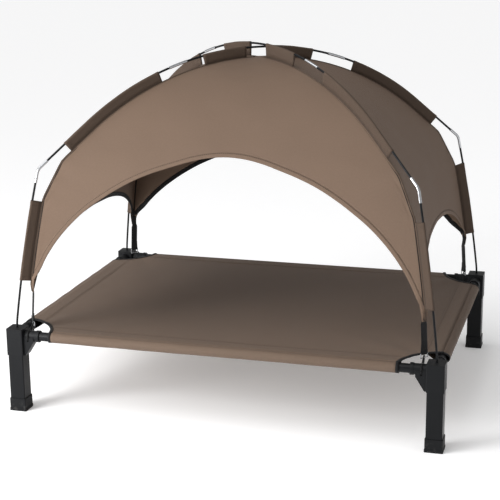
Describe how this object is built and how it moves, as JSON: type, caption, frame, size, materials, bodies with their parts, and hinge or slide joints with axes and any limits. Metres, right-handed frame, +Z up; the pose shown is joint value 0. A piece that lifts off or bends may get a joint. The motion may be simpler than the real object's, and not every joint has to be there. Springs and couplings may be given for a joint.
{
  "type": "raised dog bed with canopy",
  "caption": "Raised dog bed: a cloth sling on a tube frame with square legs, under a lift-off cloth canopy on crossed shock-corded poles.",
  "frame": {"origin": "on the floor, under the middle of the bed", "axes": "+X along the bed's width, +Y from the front to the back, +Z up"},
  "size_m": [1.22, 0.904, 0.9953],
  "materials": {
    "block_plastic": "moulded black plastic, fine texture",
    "frame_tube": "black powder coat, satin",
    "sling_cloth": "plain woven taupe polyester, coated",
    "canopy_cloth": "thin plain woven taupe polyester",
    "binding": "black woven binding tape",
    "pole_rod": "black glass-fibre rod, satin",
    "ferrule_steel": "bright plated steel tube",
    "ring_steel": "plated wire",
    "elastic": "braided black elastic cord",
    "webbing": "black woven webbing"
  },
  "bodies": {
    "bed": {"corner_block_fl": "block_plastic", "corner_block_fr": "block_plastic", "corner_block_bl": "block_plastic", "corner_block_br": "block_plastic", "leg_fl": "frame_tube", "leg_fr": "frame_tube", "leg_bl": "frame_tube", "leg_br": "frame_tube", "foot_cap_fl": "block_plastic", "foot_cap_fr": "block_plastic", "foot_cap_bl": "block_plastic", "foot_cap_br": "block_plastic", "rail_front": "frame_tube", "rail_back": "frame_tube", "rail_left": "frame_tube", "rail_right": "frame_tube", "sling": "sling_cloth", "sling_binding": "binding", "elastic_loops": "elastic"},
    "canopy": {"lower_rod_fl": "pole_rod", "lower_rod_fr": "pole_rod", "lower_rod_bl": "pole_rod", "lower_rod_br": "pole_rod", "elbow_ferrule_fl": "ferrule_steel", "elbow_ferrule_fr": "ferrule_steel", "elbow_ferrule_bl": "ferrule_steel", "elbow_ferrule_br": "ferrule_steel", "upper_rod_fl": "pole_rod", "upper_rod_fr": "pole_rod", "upper_rod_bl": "pole_rod", "upper_rod_br": "pole_rod", "straight_ferrules": "ferrule_steel", "top_rod_under": "pole_rod", "top_rod_over": "pole_rod", "shock_cord_under": "elastic", "shock_cord_over": "elastic", "panel_front": "canopy_cloth", "panel_back": "canopy_cloth", "panel_left": "canopy_cloth", "panel_right": "canopy_cloth", "lower_sleeve_fl": "canopy_cloth", "lower_sleeve_fr": "canopy_cloth", "lower_sleeve_bl": "canopy_cloth", "lower_sleeve_br": "canopy_cloth", "upper_sleeve_fl": "canopy_cloth", "upper_sleeve_fr": "canopy_cloth", "upper_sleeve_bl": "canopy_cloth", "upper_sleeve_br": "canopy_cloth", "top_sleeves": "canopy_cloth", "strap_fl": "webbing", "strap_fr": "webbing", "strap_bl": "webbing", "strap_br": "webbing"},
    "ring_fl": {"strap_ring_fl": "ring_steel"},
    "ring_fr": {"strap_ring_fr": "ring_steel"},
    "ring_bl": {"strap_ring_bl": "ring_steel"},
    "ring_br": {"strap_ring_br": "ring_steel"}
  },
  "joints": [
    {"name": "canopy_lift", "type": "slide", "parent": "bed", "child": "canopy", "axis": [0, 0, 1], "range_m": [0, 0.2], "deforming": ["elastic_loops"]},
    {"name": "ring_swing_fl", "type": "hinge", "parent": "canopy", "child": "ring_fl", "pos_m": [-0.54763, -0.39973, 0.252], "axis": [0.5896, -0.8077, 0], "range_deg": [-30, 30]},
    {"name": "ring_swing_fr", "type": "hinge", "parent": "canopy", "child": "ring_fr", "pos_m": [0.54763, -0.39973, 0.252], "axis": [0.5896, 0.8077, 0], "range_deg": [-30, 30]},
    {"name": "ring_swing_bl", "type": "hinge", "parent": "canopy", "child": "ring_bl", "pos_m": [-0.54763, 0.39973, 0.252], "axis": [-0.5896, -0.8077, 0], "range_deg": [-30, 30]},
    {"name": "ring_swing_br", "type": "hinge", "parent": "canopy", "child": "ring_br", "pos_m": [0.54763, 0.39973, 0.252], "axis": [-0.5896, 0.8077, 0], "range_deg": [-30, 30]}
  ]
}
